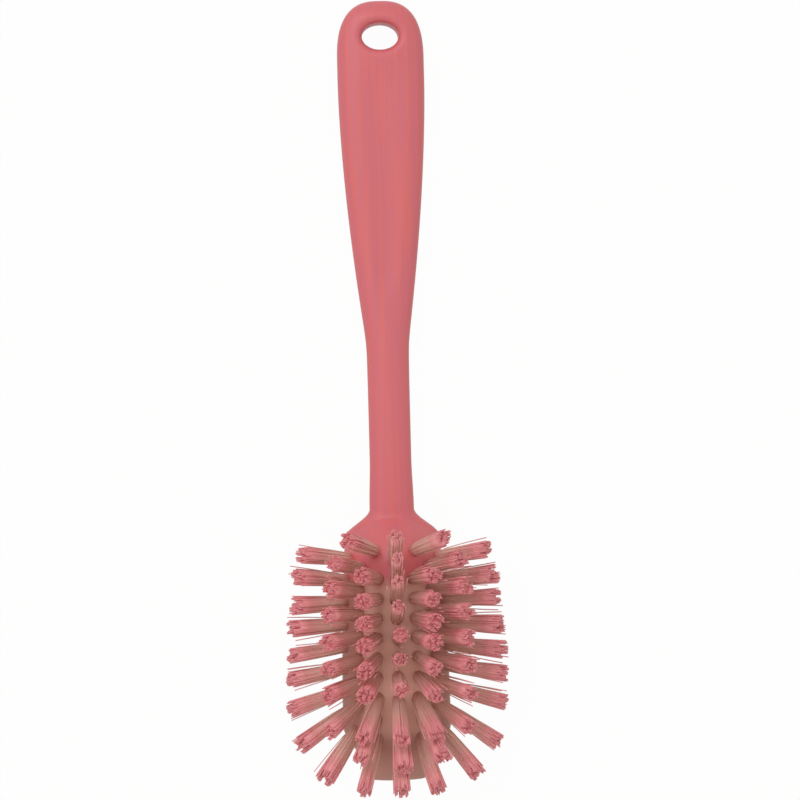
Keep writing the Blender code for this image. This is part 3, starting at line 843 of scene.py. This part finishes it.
def moulded_plastic():
    """Pink moulded polypropylene: satin gloss with faint flow marks along it, painted shade in brown
    among the tufts and on the nose, and a faint raised parting line round its sides.
    """
    finish = Finish("moulded_plastic", metallic=0.0)
    flow = finish.noise(FLOW_SCALE, FLOW_DETAIL, FLOW_STRETCH)
    pink = mix_colours(flow.ramp(*FLOW_EDGES), PINK, FLOW_PINK)
    patches = PATCH_STRENGTH * (finish.noise(PATCH_SCALE) - 0.5)
    # Painted shade: the ground among the tufts and on the nose turns brown, in the darker brown where it
    # lies open
    field = (finish.attribute("painted_shade_field") + patches).ramp(*PAINTED_SHADE_EDGES)
    brown = mix_colours(finish.attribute("open_ground"), DEEP_PAINTED_SHADE, OPEN_PAINTED_SHADE)
    finish.set("Base Color", mix_colours(field, pink, brown))
    finish.set("Roughness", PLASTIC_ROUGHNESS + flow * FLOW_ROUGHNESS + field * BROWN_ROUGHNESS)
    seam = finish.attribute("seam").absolute().ramp(*SEAM_EDGES)
    seam = seam * finish.noise(SEAM_NOISE_SCALE).ramp(*SEAM_NOISE_EDGES)
    finish.bump(finish.noise(GRAIN_SCALE) * GRAIN_HEIGHT + seam, PLASTIC_BUMP, PLASTIC_BUMP_DEPTH)
    return finish.material


def bristle_filament():
    """Pink nylon filament: painted shade in a dull brown at the root, clear pink towards the cut end."""
    finish = Finish("bristle_filament", metallic=0.0)
    tone = finish.attribute("tone")
    # Painted shade: brown towards the root, where the tuft is deep, fading to pink towards the cut end
    reach = (finish.attribute("along") + (tone - 0.5) * TONE_SHIFT).ramp(*PINK_EDGES)
    root = mix_colours(tone, *ROOT_PAINTED_SHADES)
    tip = mix_colours(tone, *TIP_PINKS)
    finish.set("Base Color", mix_colours(reach, root, tip))
    finish.set("Roughness", FILAMENT_ROUGHNESS + tone * TONE_ROUGHNESS)
    grain = finish.noise(FILAMENT_GRAIN_SCALE, FILAMENT_GRAIN_DETAIL)
    finish.bump(grain, FILAMENT_BUMP, FILAMENT_BUMP_DEPTH)
    return finish.material


def floor_material():
    """Matt white that the camera sees nearly at full white, with a faint shadow."""
    finish = Finish("floor", base_color=FLOOR_COLOUR, roughness=FLOOR_ROUGHNESS, metallic=0.0)
    white = finish.node("Emission", {}, {"Color": WHITE, "Strength": 1.0}, "Emission")
    matt = Signal(finish.tree, finish.shader.outputs[0])
    seen = seen_rays(finish.tree) * FLOOR_WHITE
    mixed = finish.node("MixShader", {}, {0: seen, 1: matt, 2: white}, "Shader")
    finish.tree.links.new(mixed.socket, finish.tree.nodes["Material Output"].inputs["Surface"])
    return finish.material


def make_floor():
    corners = np.array([(-1.0, -1.0), (1.0, -1.0), (1.0, 1.0), (-1.0, 1.0)]) * FLOOR_HALF_SIZE
    corners = np.column_stack([corners, np.full(len(corners), FLOOR_HEIGHT)])
    link("floor", corners, [(0, 1, 2, 3)], floor_material(), {})


def make_lamp():
    """A broad square lamp at the upper left, aimed at the middle of the brush."""
    data = bpy.data.lights.new("lamp", "AREA")
    data.shape = "SQUARE"
    data.size = LAMP_SIZE
    data.energy = LAMP_POWER
    data.color = LAMP_COLOUR
    lamp = bpy.data.objects.new("lamp", data)
    bpy.context.scene.collection.objects.link(lamp)
    turn = (-Vector(LAMP_PLACE)).to_track_quat("-Z", "Y").to_matrix().to_4x4()
    lamp.matrix_world = Matrix.Translation(LAMP_PLACE) @ turn


def make_world():
    """Soft pale light from all round, stronger overhead, and plain white where it is seen."""
    world = bpy.data.worlds.new("studio")
    bpy.context.scene.world = world
    world.use_nodes = True
    tree = world.node_tree
    seen = seen_rays(tree)
    direction = add_node(tree, "TexCoord", output="Generated")
    overhead = add_node(tree, "SeparateXYZ", {}, {0: direction}, "Z").ramp(0.0, ROOM_TOP_START)
    room = ROOM_SIDE_LIGHT + (ROOM_TOP_LIGHT - ROOM_SIDE_LIGHT) * overhead
    strength = room * (1.0 - seen) + seen
    background = tree.nodes["Background"]
    tree.links.new(mix_colours(seen, ROOM_COLOUR, WHITE).socket, background.inputs["Color"])
    tree.links.new(strength.socket, background.inputs["Strength"])


def make_camera():
    """Over the brush and a little to its left, turned so that the handle's top leans left."""
    data = bpy.data.cameras.new("camera")
    data.sensor_width = SENSOR_WIDTH
    data.lens = SENSOR_WIDTH * CAMERA_DISTANCE / PHOTO_WIDTH
    data.clip_end = CAMERA_REACH
    camera = bpy.data.objects.new("camera", data)
    bpy.context.scene.collection.objects.link(camera)
    turn = Matrix.Rotation(-PHOTO_TILT, 4, "Y") @ Matrix.Rotation(-PHOTO_ROLL, 4, "Z")
    back = Matrix.Translation((0.0, 0.0, CAMERA_DISTANCE))
    camera.matrix_world = Matrix.Translation(PHOTO_CENTRE) @ turn @ back
    bpy.context.scene.camera = camera


def main():
    placements = tufts()
    more = nose_tufts()
    roots = [root for root, axis in (*placements.values(), *more.values())]
    skin = handle_skin(moulded_plastic(), roots)
    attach(skin, "root")
    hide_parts("handle_and_block")
    filament = bristle_filament()
    for seed, (name, (root, axis)) in enumerate(sorted(placements.items())):
        piece = bundle(name.replace("bristle_tuft", "filaments"), root, axis, filament, seed)
        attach(piece, "root")
        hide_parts(name)
    for seed, (name, (root, axis)) in enumerate(more.items(), start=len(placements)):
        piece = bundle(f"filaments_{name}", root, axis, filament, seed)
        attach(piece, "root")
    make_floor()
    make_world()
    make_camera()
    make_lamp()
    bpy.context.scene.view_settings.view_transform = "Standard"


main()
